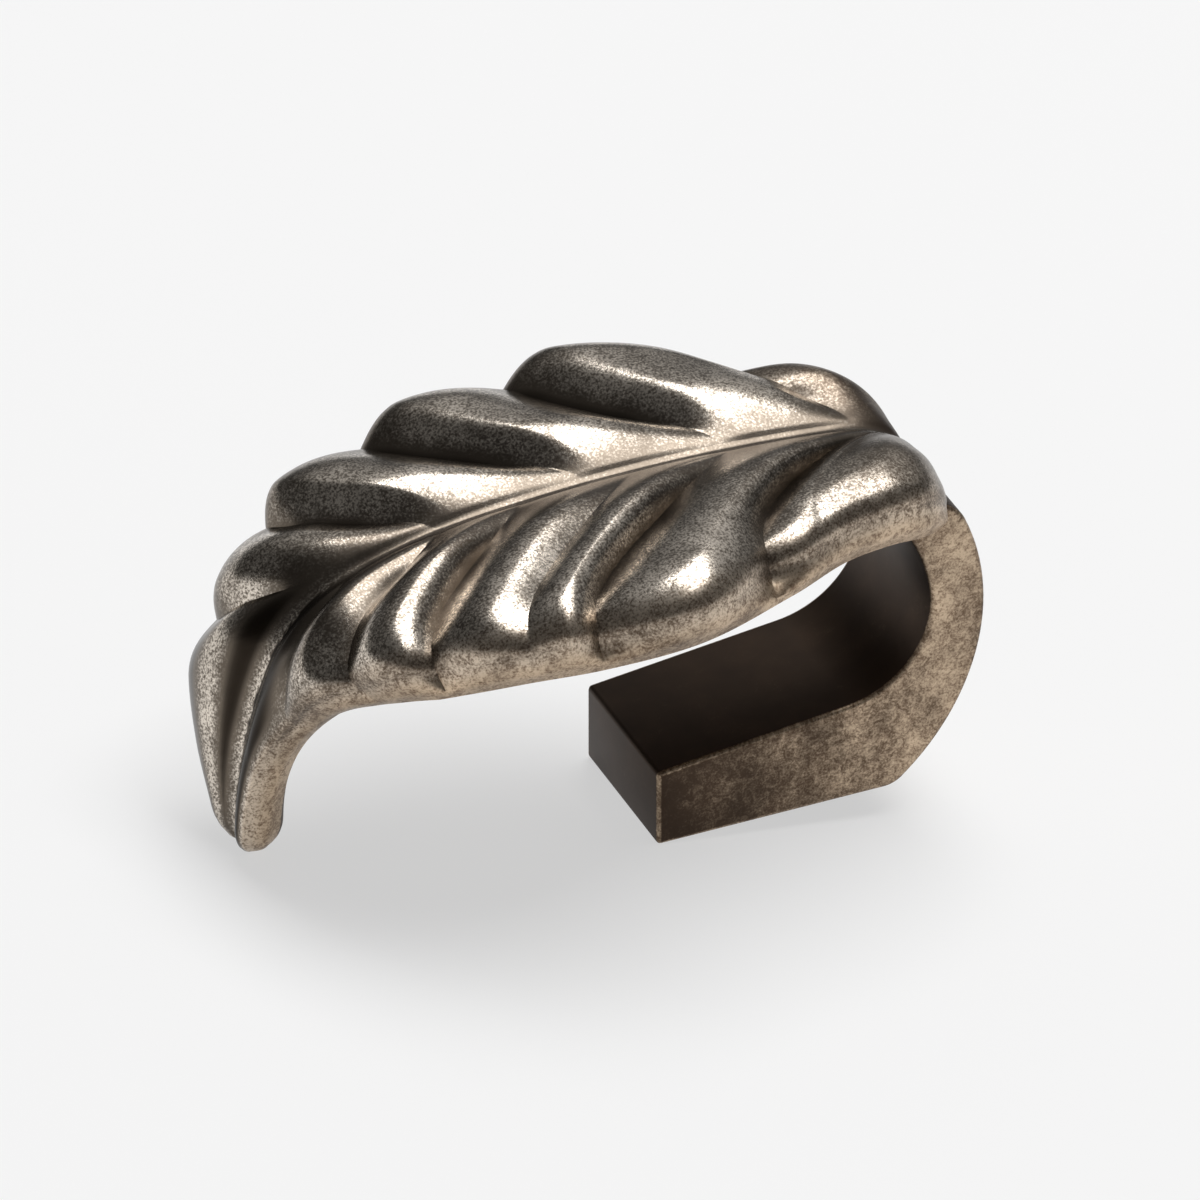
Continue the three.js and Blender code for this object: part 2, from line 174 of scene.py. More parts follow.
def strap_piece():
    bm = bmesh.new()
    wear, tarnish = (bm.verts.layers.float.new(name) for name in ("wear", "tarnish"))
    ring = [bm.verts.new((p.x, -STRAP_WIDTH / 2, p.y)) for p in strap_outline()]
    side = bm.faces.new(ring)
    grown = bmesh.ops.extrude_face_region(bm, geom=[side])
    far_side = [part for part in grown["geom"] if isinstance(part, bmesh.types.BMVert)]
    bmesh.ops.translate(bm, verts=far_side, vec=(0, STRAP_WIDTH, 0))
    bmesh.ops.recalc_face_normals(bm, faces=bm.faces)
    sharp = [edge for edge in bm.edges if edge.calc_face_angle() > CORNER_ANGLE]
    bmesh.ops.bevel(
        bm, geom=sharp, offset=STRAP_EDGE, segments=EDGE_SEGMENTS, profile=0.5, affect="EDGES", material=-1
    )
    sides = sorted(bm.faces, key=lambda face: len(face.verts))[-2:]
    bmesh.ops.inset_region(bm, faces=sides, thickness=SIDE_WEAR_INSET)
    for vert in bm.verts:
        inward = STRAP_WIDTH / 2 - abs(vert.co.y)
        outward = (Vector((vert.co.x, vert.co.z)) - bend_centre).length - BEND_RADIUS
        along = smooth((vert.co.x + FOOT_LENGTH / 2) / SIDE_WEAR_RUN)
        vert[tarnish] = 1.0
        if inward < ON_FACE or outward > -ON_FACE:
            vert[wear] = lerp(SIDE_WEAR_AT_FOOT, SIDE_WEAR_AT_BEND, along)
        elif inward < STRAP_EDGE - ON_FACE:
            vert[wear] = EDGE_WEAR
        else:
            vert[wear] = FACE_WEAR
    return mesh_object("strap", bm)


def hole_piece(name, x):
    bm = bmesh.new()
    bm.verts.layers.float.new("wear")
    bm.verts.layers.float.new("tarnish")
    bmesh.ops.create_cone(
        bm, cap_ends=True, segments=HOLE_SEGMENTS,
        radius1=HOLE_RADIUS, radius2=HOLE_RADIUS, depth=2 * HOLE_DEPTH,
    )
    bmesh.ops.translate(bm, verts=bm.verts, vec=(x, 0, 0))
    return mesh_object(name, bm)


# Leaf
# The cast leaf arches along its midrib and curls down at the tip. Ridges and valleys sweep from the
# midrib's groove to a lobed margin, which rolls over into a plain side wall above a hollow underside.
LEAF_LENGTH = 60.6 * MM
LEAF_HALF_WIDTH = 15.0 * MM
SEAT_ANGLE = math.radians(39.4)
SEAT_RISE = 1.7 * MM
MIDRIB_HEADING = math.radians(9.5)
MIDRIB_ARCS = ((0.487, 15.0), (0.148, 12.5), (0.139, 50.0), (0.226, 26.0))  # share, turn in degrees
SLENDER_HALF_WIDTH = 7.5 * MM
GROOVE_HALF_WIDTH = 0.8 * MM
GROOVE_DEPTH = 0.25 * MM
SWELL_HEIGHT = 1.7 * MM
SWELL_WIDTH = 5.0 * MM
SWELL_SHARE = 0.6
VALLEY_DEPTH = 1.8 * MM
VALLEY_RUN_SHARE = 0.45
VALLEY_FADE_SHARE = 0.35
VALLEY_FADE_RUN_SHARE = 0.25
NOTCH_DEPTH = 1.5 * MM
EDGE_ROUND = 3.6 * MM
EDGE_DROP = 2.2 * MM
WALL_HEIGHT = 2.4 * MM
WALL_BULGE = 0.25 * MM
WALL_TUCK = 0.4 * MM
WALL_FOOT_DIP = 0.45 * MM  # the wall's foot runs evenly, this far below a level ridge's
WALL_FOOT_REACH = 0.15 * MM
UNDERSIDE_DEPTH = 3.2 * MM
UNDERSIDE_POWER = 3
BASE_DROP = 2.3 * MM
BASE_BEND = 6.0 * MM
BASE_ROUND = 4.4 * MM
BASE_BLUNT_SHARE = 0.25
BASE_CORNER_SHARE = 0.25
TIP_ROUND = 2.4 * MM
TIP_BLUNT_SHARE = 0.2
LINE_SWING_SHARE = 0.6

# Each ridge or valley, from the base to the tip: where it leaves the midrib and where it meets the
# margin, as shares of the leaf's length, then its rise, its reach and its lean towards the tip
Fold = namedtuple("Fold", "root end rise reach lean")
NEAR_FOLDS = [Fold(*numbers) for numbers in (
    (0.0, 0.007, -0.4, -0.3, 0.6),
    (0.003, 0.092, -0.15, 0.1, 0.8),
    (0.013, 0.19, -0.45, -0.13, 1.0),
    (0.023, 0.256, -0.95, -0.87, 1.0),
    (0.107, 0.363, 0.1, 0.6, 0.6),
    (0.201, 0.465, -0.9, -0.4, 0.45),
    (0.254, 0.502, 0.05, 0.33, 0.4),
    (0.31, 0.538, -0.4, 0.33, 0.35),
    (0.363, 0.574, 0.0, 0.4, 0.35),
    (0.439, 0.627, -0.95, -0.33, 0.35),
    (0.479, 0.667, 0.0, 0.2, 0.35),
    (0.528, 0.71, -0.78, -0.2, 0.35),
    (0.571, 0.752, 0.0, 0.0, 0.35),
    (0.617, 0.8, -0.5, -0.07, 0.35),
    (0.776, 0.891, -0.1, 0.0, 0.35),
    (1.0, 1.0, 0.0, 0.0, 0.35),
)]
FAR_FOLDS = [Fold(*numbers) for numbers in (
    (0.0, 0.012, -0.45, -0.3, 0.5),
    (0.03, 0.086, -0.25, 0.0, 0.5),
    (0.066, 0.15, -0.6, -0.6, 0.3),
    (0.175, 0.32, 0.05, 0.13, 0.3),
    (0.211, 0.38, -1.0, -0.85, 0.3),
    (0.337, 0.498, 0.05, 0.13, 0.3),
    (0.37, 0.55, -0.95, -0.5, 0.3),
    (0.502, 0.647, 0.05, 0.13, 0.3),
    (0.535, 0.683, -0.83, -0.6, 0.3),
    (0.634, 0.752, 0.0, 0.0, 0.3),
    (0.667, 0.789, -0.45, -0.4, 0.3),
    (0.743, 0.858, 0.0, 0.2, 0.3),
    (1.0, 1.0, 0.0, 0.0, 0.3),
)]

# Half the leaf's width from the base to the tip, as (share of its length, share of its half-width)
NEAR_OUTLINE = (
    (0.0, 0.49), (0.04, 0.55), (0.08, 0.59), (0.15, 0.67), (0.23, 0.83), (0.35, 1.0), (0.46, 0.99),
    (0.56, 0.88), (0.63, 0.76), (0.68, 0.64), (0.71, 0.55), (0.76, 0.4), (0.82, 0.25), (0.87, 0.17),
    (0.94, 0.12), (1.0, 0.1),
)
FAR_OUTLINE = (
    (0.0, 0.46), (0.05, 0.47), (0.08, 0.5), (0.15, 0.62), (0.23, 0.83), (0.35, 0.92), (0.46, 0.87),
    (0.58, 0.77), (0.68, 0.65), (0.76, 0.53), (0.84, 0.5), (0.91, 0.33), (0.96, 0.19), (1.0, 0.12),
)

# Wear, painted shade and tarnish, and how far along or across the leaf each of them changes
TOP_WEAR = 0.85
UNDERSIDE_WEAR = 0.35
RIM_TARNISH = 0.6
RIM_TARNISH_RUN_SHARE = 0.12
GROOVE_WEAR = 0.28
VALLEY_WORN_RISE = 1.3 * MM
TIP_CREST_START_SHARE = 0.6
TIP_CREST_RUN_SHARE = 0.12
TIP_CREST_SPREAD_SHARE = 0.13
TIP_RIB_WIDTH = 0.6 * MM
BASE_DULL_LENGTH = 14 * MM
# where the rim's painted shade starts, as a share of the half-width
RIM_SHADE_START_SHARE = 0.65

# Each half's folds and outline, how wide the satin strip beside its midrib is, where its crest runs at
# the tip, as a share of the half-width, and how worn, tarnished or darkened by painted shade its parts are
Half = namedtuple("Half", (
    "folds", "outline", "satin_width", "tip_crest", "tip_rib_wear", "valley_wear", "rim_wear",
    "wall_wear", "base_wear", "base_tarnish",
))
NEAR_HALF = Half(
    NEAR_FOLDS, NEAR_OUTLINE, satin_width=10.0 * MM, tip_crest=1.0, tip_rib_wear=0.0, valley_wear=0.3,
    rim_wear=1.0, wall_wear=1.0, base_wear=0.75, base_tarnish=0.3,
)
# The far half's low rim and wall values are painted shade, a dark reflection painted onto its rim and walls
FAR_HALF = Half(
    FAR_FOLDS, FAR_OUTLINE, satin_width=4.5 * MM, tip_crest=0.5, tip_rib_wear=0.9, valley_wear=0.1,
    rim_wear=0.4, wall_wear=0.55, base_wear=0.5, base_tarnish=0.9,
)

# How finely the mesh is divided
STEPS_PER_FOLD = 14
GROOVE_STEPS = 5
TOP_STEPS = 34
RIM_CROWDING_POWER = 1.6
WALL_STEPS = 6
UNDERSIDE_STEPS = 12
MOST_GROOVE_SHARE = 0.5
CLOSEST_ROWS_SHARE = 1e-4
MERGE_DISTANCE = 1e-4 * MM
SHARP_ANGLE = math.radians(38)


def round_fall(t):
    """Fall of a quarter-ellipse round, t from 0 where it starts to 1 at its end"""
    return 1 - math.sqrt(1 - clamp(t) ** 2)


def curve_through(knots, x):
    """A smooth curve through knots (x, value), read at x"""
    last = len(knots) - 1
    i = max(k for k in range(last) if k == 0 or x > knots[k][0])

    def slope(k):
        before, after = knots[max(k - 1, 0)], knots[min(k + 1, last)]
        return (after[1] - before[1]) / (after[0] - before[0])

    span = knots[i + 1][0] - knots[i][0]
    t = clamp((x - knots[i][0]) / span)
    rise = knots[i + 1][1] - knots[i][1]
    bend = (1 - t) * (slope(i) * span - rise) - t * (slope(i + 1) * span - rise)
    return knots[i][1] + rise * t + t * (1 - t) * bend


def midrib(s):
    """Point of the midrib at distance s from the base end, and the angle that it climbs there"""
    start = around(bend_centre, BEND_RADIUS + SEAT_RISE, SEAT_ANGLE)
    x, z = start.x, start.y
    angle = MIDRIB_HEADING
    left = s
    for share, turn in MIDRIB_ARCS:
        length = share * LEAF_LENGTH
        curvature = math.radians(turn) / length
        following = angle - curvature * min(left, length)
        x += (math.sin(following) - math.sin(angle)) / curvature
        z += (math.cos(following) - math.cos(angle)) / curvature
        angle = following
        left = max(left - length, 0)
    return x, z, angle


class Line:
    """A fold or a line between two, which leaves the midrib at a share of the leaf's length"""

    def __init__(self, half, share):
        a, b = next((a, b) for a, b in pairwise(half.folds) if share <= b.root)
        t = clamp((share - a.root) / (b.root - a.root))
        quarter = t * math.pi / 2
        ease = math.sin(quarter) if b.rise > a.rise else 1 - math.cos(quarter)
        self.half = half
        self.root = share * LEAF_LENGTH
        self.end = lerp(a.end, b.end, t) * LEAF_LENGTH
        self.rise = lerp(a.rise, b.rise, ease) * VALLEY_DEPTH
        self.lean = lerp(a.lean, b.lean, t)
        reach = lerp(a.reach, b.reach, ease) * NOTCH_DEPTH
        unlobed = LEAF_HALF_WIDTH * curve_through(half.outline, self.end / LEAF_LENGTH)
        self.half_width = max(unlobed + reach, GROOVE_HALF_WIDTH)
        self.lobe = self.half_width - unlobed
        self.slender = min(1.0, self.half_width / SLENDER_HALF_WIDTH)

    def along(self, u):
        """Distance from the base end, at a share u of the half-width"""
        early = 1 - (1 - u) ** 2
        late = lerp(u, smooth(u), LINE_SWING_SHARE)
        return lerp(self.root, self.end, lerp(late, early, self.lean))

    def relief(self, u):
        """Height of the ridge or depth of the valley, which grow from the midrib to the margin"""
        shallow = 1.0
        if self.rise < 0:
            shallow = 1 - VALLEY_FADE_SHARE * smooth((u - 1) / VALLEY_FADE_RUN_SHARE + 1)
        return self.rise * smooth(u / VALLEY_RUN_SHARE) * shallow

    def top(self, u):
        """Height of the upper face over the midrib's arc, at a share u of the half-width"""
        y = self.half_width * u
        groove = -GROOVE_DEPTH * (1 - smooth(y / GROOVE_HALF_WIDTH))
        swell_run = min(SWELL_WIDTH, SWELL_SHARE * self.half_width)
        swell_share = clamp((y - GROOVE_HALF_WIDTH / 2) / swell_run)
        swell = SWELL_HEIGHT * self.slender * math.sin(swell_share * math.pi / 2)
        round_width = EDGE_ROUND * self.slender
        margin = -EDGE_DROP * self.slender * round_fall((y - self.half_width + round_width) / round_width)
        return groove + swell + self.relief(u) + margin

    def rubbed_and_shaded(self, u):
        """How bright the upper face is rubbed: dark in the valleys and in the midrib's groove; painted
        shade at the far rim
        """
        hollow = smooth((self.relief(u) + VALLEY_DEPTH) / VALLEY_WORN_RISE)
        groove = lerp(GROOVE_WEAR, 1.0, smooth(self.half_width * u / self.half.satin_width))
        base = lerp(self.half.base_wear, 1.0, smooth(self.end / BASE_DULL_LENGTH))
        # Towards the rim the wear drops to the half's rim value, on the far half a painted shade
        towards_rim = smooth((u - RIM_SHADE_START_SHARE) / (1 - RIM_SHADE_START_SHARE))
        rim = lerp(1.0, self.half.rim_wear, towards_rim)
        lobed = TOP_WEAR * lerp(self.half.valley_wear, 1.0, hollow) * groove * base * rim
        crest = math.exp(-((u - self.half.tip_crest) / TIP_CREST_SPREAD_SHARE) ** 2)
        rib = self.half.tip_rib_wear * math.exp(-(self.half_width * u / TIP_RIB_WIDTH) ** 2)
        tip = smooth((self.root / LEAF_LENGTH - TIP_CREST_START_SHARE) / TIP_CREST_RUN_SHARE)
        return lerp(lobed, max(crest, rib), tip)

    def tarnished(self, u):
        """How brown the upper face is: at the rim and towards the base end"""
        rim = RIM_TARNISH * smooth((u - 1) / RIM_TARNISH_RUN_SHARE + 1)
        base = self.half.base_tarnish * (1 - smooth(self.end / BASE_DULL_LENGTH))
        return max(rim, base)

    def section(self):
        """From the middle of the upper face over the rim to the middle of the underside"""
        groove = min(GROOVE_HALF_WIDTH / self.half_width, MOST_GROOVE_SHARE)
        shares = [groove * k / GROOVE_STEPS for k in range(GROOVE_STEPS)]
        shares += [
            groove + (1 - groove) * (1 - (1 - k / TOP_STEPS) ** RIM_CROWDING_POWER)
            for k in range(TOP_STEPS + 1)
        ]
        points = [
            (self.along(u), self.half_width * u, self.top(u), self.rubbed_and_shaded(u), self.tarnished(u))
            for u in shares
        ]
        rim_s, rim_y, rim_h, _, _ = points[-1]
        to_even_y = WALL_FOOT_REACH * self.slender - self.lobe
        to_even_h = -WALL_FOOT_DIP * self.slender - self.relief(1)
        for k in range(1, WALL_STEPS + 1):
            t = k / WALL_STEPS
            even = smooth(t)
            bulge = WALL_BULGE * math.sin(t * math.pi) - WALL_TUCK * smooth(2 * t - 1)
            y = rim_y + bulge + to_even_y * even
            h = rim_h - WALL_HEIGHT * t + to_even_h * even
            # The wall takes its half's wall value, which on the far half is lowered as painted shade
            points.append((rim_s, y, h, self.half.wall_wear, lerp(RIM_TARNISH, 1.0, smooth(2 * t))))
        _, foot_y, foot_h, _, _ = points[-1]
        for k in range(1, UNDERSIDE_STEPS + 1):
            u = 1 - k / UNDERSIDE_STEPS
            h = lerp(-UNDERSIDE_DEPTH, foot_h, u ** UNDERSIDE_POWER)
            points.append((self.along(u), foot_y * u, h, UNDERSIDE_WEAR, 1.0))
        return points


def place(s, y, h):
    """A section point in space, drawn in round the tip's end and the base's nose"""
    tip_keep = max(1 - round_fall((s - LEAF_LENGTH + TIP_ROUND) / TIP_ROUND), TIP_BLUNT_SHARE)
    base_fall = round_fall(1 - s / BASE_ROUND)
    keep_height = tip_keep * (1 - base_fall * (1 - BASE_BLUNT_SHARE))
    keep_width = tip_keep * (1 - base_fall * BASE_CORNER_SHARE)
    drop = BASE_DROP * round_fall(1 - s / BASE_BEND)
    h = lerp(-UNDERSIDE_DEPTH / 2, h, keep_height) - drop
    x, z, angle = midrib(s)
    return x + math.sin(angle) * h, y * keep_width, z + math.cos(angle) * h


def row_shares():
    """Where the rows leave the midrib: on every fold of both halves, and evenly between them"""
    shares = {1.0}
    for folds in (NEAR_FOLDS, FAR_FOLDS):
        for a, b in pairwise(folds):
            shares.update(lerp(a.root, b.root, k / STEPS_PER_FOLD) for k in range(STEPS_PER_FOLD))
    kept = [0.0]
    for share in sorted(shares):
        if share - kept[-1] > CLOSEST_ROWS_SHARE:
            kept.append(share)
    return kept


def leaf_piece():
    rows = []
    for share in row_shares():
        far = Line(FAR_HALF, share).section()
        near = Line(NEAR_HALF, share).section()
        mirrored = [(s, -y, *rest) for s, y, *rest in near]
        rows.append(far + mirrored[-2::-1])
    row_steps, ring_steps = len(rows) - 1, len(rows[0]) - 1
    bm = bmesh.new()
    wear, tarnish = (bm.verts.layers.float.new(name) for name in ("wear", "tarnish"))
    bmesh.ops.create_grid(bm, x_segments=row_steps, y_segments=ring_steps, size=1)
    for vert in bm.verts:
        row = round((vert.co.x + 1) / 2 * row_steps)
        column = round((vert.co.y + 1) / 2 * ring_steps)
        s, y, h, vert[wear], vert[tarnish] = rows[row][column]
        vert.co = place(s, y, h)
    bmesh.ops.remove_doubles(bm, verts=bm.verts, dist=MERGE_DISTANCE)
    bmesh.ops.holes_fill(bm, edges=[edge for edge in bm.edges if edge.is_boundary])
    bmesh.ops.recalc_face_normals(bm, faces=bm.faces)
    return mesh_object("leaf", bm)


def joined(body, others):
    """The body with each other piece joined to it or cut out of it, as one closed mesh that keeps the
    wear, painted shade and tarnish of the pieces' nearest vertices"""
    pieces = [body] + [other for other, _ in others]
    nearest = KDTree(sum(len(piece.data.vertices) for piece in pieces))
    known = []
    for piece in pieces:
        layers = [piece.data.attributes[name].data for name in ("wear", "tarnish")]
        for vert in piece.data.vertices:
            nearest.insert(vert.co, len(known))
            known.append([layer[vert.index].value for layer in layers])
    nearest.balance()
    for other, operation in others:
        boolean = body.modifiers.new(other.name, "BOOLEAN")
        boolean.object = other
        boolean.operation = operation
        boolean.solver = "EXACT"
    bpy.context.view_layer.update()
    made = bpy.data.meshes.new_from_object(body.evaluated_get(bpy.context.evaluated_depsgraph_get()))
    body.modifiers.clear()
    body.data = made
    layers = [made.attributes[name].data for name in ("wear", "tarnish")]
    for vert in made.vertices:
        _, source, _ = nearest.find(vert.co)
        for layer, value in zip(layers, known[source]):
            layer[vert.index].value = value
    for other, _ in others:
        bpy.data.objects.remove(other)
    return body


casting = joined(leaf_piece(), [
    (strap_piece(), "UNION"),
    (hole_piece("front_hole", -HOLE_SPACING / 2), "DIFFERENCE"),
    (hole_piece("back_hole", HOLE_SPACING / 2), "DIFFERENCE"),
])
casting.name = "leaf_pull_casting"
casting.data.shade_smooth()
casting.data.set_sharp_from_angle(angle=SHARP_ANGLE)
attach(casting, "root")
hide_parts("leaf_pull")


# Finish
# A white bronze casting, darkened with a brown-black patina and rubbed back. Bright metal shows
# through as grain on the high parts; the valleys keep a smooth satin patina, the strap a brown one.
PATINA_BLACK = "2B251F"
PATINA_GREY = "665D53"
PATINA_BROWN = "3A2C21"
PATINA_TAN = "806A56"
BRONZE_PALE = "DDD3C6"
BRONZE_BEIGE = "C6B198"
GRAINS_PER_MM = 6.5
CLUSTERS_PER_MM = 1.6
DRIFTS_PER_MM = 0.3
DRIFT_LOW = 0.3  # the range of the drift's noise that is spread over the wear and the tone
DRIFT_HIGH = 0.7
LEAST_PATCHY_WEAR = 0.75
MOST_PATCHY_WEAR = 1.2
DARKEST_TONE = 0.8
LIGHTEST_TONE = 1.15
LEAF_CLUSTERING = 0.3
TARNISH_CLUSTERING = 0.3
SPECKLE_CONTRAST = 3.4
SPECKLE_OFFSET = -1.12
FIRST_BARE = 0.1  # level of wear at which bare metal starts to show
FULLY_BARE = 0.8
TARNISH_HOLDS = 0.1
THIN_PATINA_WEAR = 0.22
TARNISH_METALLIC = 0.85
BARE_ROUGHNESS = 0.2
SATIN_ROUGHENING = 0.05
TARNISH_ROUGHENING = 0.22
SPECKLE_HEIGHT = 0.004 * MM


def linear(hex_colour):
    values = [int(hex_colour[k:k + 2], 16) / 255 for k in (0, 2, 4)]
    return [v / 12.92 if v <= 0.04045 else ((v + 0.055) / 1.055) ** 2.4 for v in values] + [1.0]


def add_node(tree, kind, inputs=(), **settings):
    """A node with its settings; each input, by name or number, takes a value or another's output"""
    made = tree.nodes.new(kind)
    for name, value in settings.items():
        setattr(made, name, value)
    for key, value in dict(inputs).items():
        if isinstance(value, bpy.types.NodeSocket):
            tree.links.new(value, made.inputs[key])
        else:
            made.inputs[key].default_value = value
    return made


def antiqued_bronze():
    material = bpy.data.materials.new("antiqued_white_bronze")
    material.use_nodes = True
    tree = material.node_tree
    shader = tree.nodes["Principled BSDF"]
    position = add_node(tree, "ShaderNodeTexCoord").outputs["Object"]
    in_mm = add_node(
        tree, "ShaderNodeMapping", {"Vector": position, "Scale": (1000, 1000, 1000)}
    ).outputs["Vector"]
    # The wear attribute also carries painted shade, lowered on the leaf's far rim and walls
    wear = add_node(tree, "ShaderNodeAttribute", attribute_name="wear").outputs["Fac"]
    tarnish = add_node(tree, "ShaderNodeAttribute", attribute_name="tarnish").outputs["Fac"]

    # Grain of 0.15 mm, wandering clusters of 0.6 mm, and slow shifts of tone over about 3 mm
    grain = add_node(
        tree, "ShaderNodeTexNoise",
        {"Vector": in_mm, "Scale": GRAINS_PER_MM, "Detail": 2.0, "Roughness": 0.6},
    ).outputs["Fac"]
    cluster = add_node(
        tree, "ShaderNodeTexNoise",
        {"Vector": in_mm, "Scale": CLUSTERS_PER_MM, "Detail": 5.0, "Roughness": 0.7, "Distortion": 0.8},
    ).outputs["Fac"]
    drift = add_node(
        tree, "ShaderNodeTexNoise", {"Vector": in_mm, "Scale": DRIFTS_PER_MM, "Detail": 3.0}
    ).outputs["Fac"]

    # Bare metal breaks through the patina where it is worn, more so in the clusters, and less where shade
    # is painted into the wear
    clustering = add_node(
        tree, "ShaderNodeMath", {0: tarnish, 1: TARNISH_CLUSTERING, 2: LEAF_CLUSTERING},
        operation="MULTIPLY_ADD",
    ).outputs[0]
    speckle = add_node(
        tree, "ShaderNodeMix", {"Factor": clustering, "A": grain, "B": cluster}
    ).outputs["Result"]
    broken = add_node(
        tree, "ShaderNodeMath", {0: speckle, 1: SPECKLE_CONTRAST, 2: SPECKLE_OFFSET},
        operation="MULTIPLY_ADD",
    ).outputs[0]
    patchy = add_node(
        tree, "ShaderNodeMapRange",
        {
            "Value": drift, "From Min": DRIFT_LOW, "From Max": DRIFT_HIGH,
            "To Min": LEAST_PATCHY_WEAR, "To Max": MOST_PATCHY_WEAR,
        },
    ).outputs["Result"]
    patchy_wear_and_shade = add_node(
        tree, "ShaderNodeMath", {0: patchy, 1: wear}, operation="MULTIPLY"
    ).outputs[0]
    level = add_node(
        tree, "ShaderNodeMath", {0: broken, 1: patchy_wear_and_shade}, operation="MULTIPLY"
    ).outputs[0]
    fully_bare = add_node(
        tree, "ShaderNodeMath", {0: tarnish, 1: TARNISH_HOLDS, 2: FULLY_BARE}, operation="MULTIPLY_ADD"
    ).outputs[0]
    bare = add_node(
        tree, "ShaderNodeMapRange", {"Value": level, "From Min": FIRST_BARE, "From Max": fully_bare},
        interpolation_type="SMOOTHSTEP",
    ).outputs["Result"]

    # The patina goes from black in the creases to grey on the leaf, from brown to tan on the strap
    thinned = add_node(
        tree, "ShaderNodeMapRange", {"Value": wear, "From Max": THIN_PATINA_WEAR},
        interpolation_type="SMOOTHSTEP",
    ).outputs["Result"]
    satin_patina = add_node(
        tree, "ShaderNodeMix", {"Factor": thinned, 6: linear(PATINA_BLACK), 7: linear(PATINA_GREY)},
        data_type="RGBA",
    ).outputs[2]
    tan_share = add_node(
        tree, "ShaderNodeMath", {0: patchy_wear_and_shade, 1: wear}, operation="MULTIPLY"
    ).outputs[0]
    brown_patina = add_node(
        tree, "ShaderNodeMix", {"Factor": tan_share, 6: linear(PATINA_BROWN), 7: linear(PATINA_TAN)},
        data_type="RGBA",
    ).outputs[2]
    patina = add_node(
        tree, "ShaderNodeMix", {"Factor": tarnish, 6: satin_patina, 7: brown_patina}, data_type="RGBA"
    ).outputs[2]

    # Bare metal and patina together, with a slow drift from darker to lighter
    bronze = add_node(
        tree, "ShaderNodeMix", {"Factor": tarnish, 6: linear(BRONZE_PALE), 7: linear(BRONZE_BEIGE)},
        data_type="RGBA",
    ).outputs[2]
    surface = add_node(
        tree, "ShaderNodeMix", {"Factor": bare, 6: patina, 7: bronze}, data_type="RGBA"
    ).outputs[2]
    tone = add_node(
        tree, "ShaderNodeMapRange",
        {
            "Value": drift, "From Min": DRIFT_LOW, "From Max": DRIFT_HIGH,
            "To Min": DARKEST_TONE, "To Max": LIGHTEST_TONE,
        },
    ).outputs["Result"]
    toned = add_node(
        tree, "ShaderNodeVectorMath", {0: surface, "Scale": tone}, operation="SCALE"
    ).outputs[0]
    tree.links.new(toned, shader.inputs["Base Color"])

    # Patina is duller than bare metal, and tarnish duller still
    dull = add_node(tree, "ShaderNodeMath", {0: 1.0, 1: bare}, operation="SUBTRACT").outputs[0]
    dull_tarnish = add_node(
        tree, "ShaderNodeMath", {0: dull, 1: tarnish}, operation="MULTIPLY"
    ).outputs[0]
    metallic = add_node(
        tree, "ShaderNodeMapRange", {"Value": dull_tarnish, "To Min": 1.0, "To Max": TARNISH_METALLIC}
    ).outputs["Result"]
    tree.links.new(metallic, shader.inputs["Metallic"])
    satin = add_node(
        tree, "ShaderNodeMath", {0: dull, 1: SATIN_ROUGHENING, 2: BARE_ROUGHNESS},
        operation="MULTIPLY_ADD",
    ).outputs[0]
    roughness = add_node(
        tree, "ShaderNodeMath", {0: tarnish, 1: TARNISH_ROUGHENING, 2: satin}, operation="MULTIPLY_ADD"
    ).outputs[0]
    tree.links.new(roughness, shader.inputs["Roughness"])
    relief = add_node(
        tree, "ShaderNodeBump", {"Height": level, "Strength": 1.0, "Distance": SPECKLE_HEIGHT}
    ).outputs["Normal"]
    tree.links.new(relief, shader.inputs["Normal"])
    return material


casting.data.materials.clear()
casting.data.materials.append(antiqued_bronze())


# Table
# A smooth pale table top. The pull lies on it as in the photograph, on the front edge of its foot
# and on the curled tip, so the table's plane turns about that edge until it meets the tip. Its colour
# is partly its own glow, for the eye and for mirrored or refracted rays only, which keeps the shadow
# on it pale.
TABLE_COLOUR = "F6F6F6"
TABLE_HALF_SIZE = 3.0
SHADOW_LIFT = 0.62

front_edge = Vector((-FOOT_LENGTH / 2, 0, 0))
tip_slope = min(
    vert.co.z / (front_edge.x - vert.co.x) for vert in casting.data.vertices if vert.co.x < 2 * front_edge.x
)
table_mesh = bmesh.new()
bmesh.ops.create_grid(table_mesh, x_segments=1, y_segments=1, size=TABLE_HALF_SIZE)
turn = Matrix.Rotation(math.atan(tip_slope), 4, "Y")
bmesh.ops.transform(table_mesh, matrix=Matrix.Translation(front_edge) @ turn, verts=table_mesh.verts)
table = mesh_object("table", table_mesh)
table_material = bpy.data.materials.new("pale_table")
table_material.use_nodes = True
table_tree = table_material.node_tree
table_shader = table_tree.nodes["Principled BSDF"]
table_shader.inputs["Base Color"].default_value = linear(TABLE_COLOUR)
table_shader.inputs["Roughness"].default_value = 1.0
table_shader.inputs["Specular IOR Level"].default_value = 0.0
glow = add_node(
    table_tree, "ShaderNodeEmission", {"Color": linear(TABLE_COLOUR), "Strength": 1.0}
).outputs["Emission"]
rays = add_node(table_tree, "ShaderNodeLightPath").outputs
seen = add_node(
    table_tree, "ShaderNodeMath", {0: rays["Is Camera Ray"], 1: rays["Is Glossy Ray"]}, operation="ADD"
).outputs[0]
seen_or_through = add_node(
    table_tree, "ShaderNodeMath", {0: seen, 1: rays["Is Transmission Ray"]}, operation="ADD"
).outputs[0]
share = add_node(
    table_tree, "ShaderNodeMath", {0: seen_or_through, 1: SHADOW_LIFT}, operation="MULTIPLY", use_clamp=True
).outputs[0]
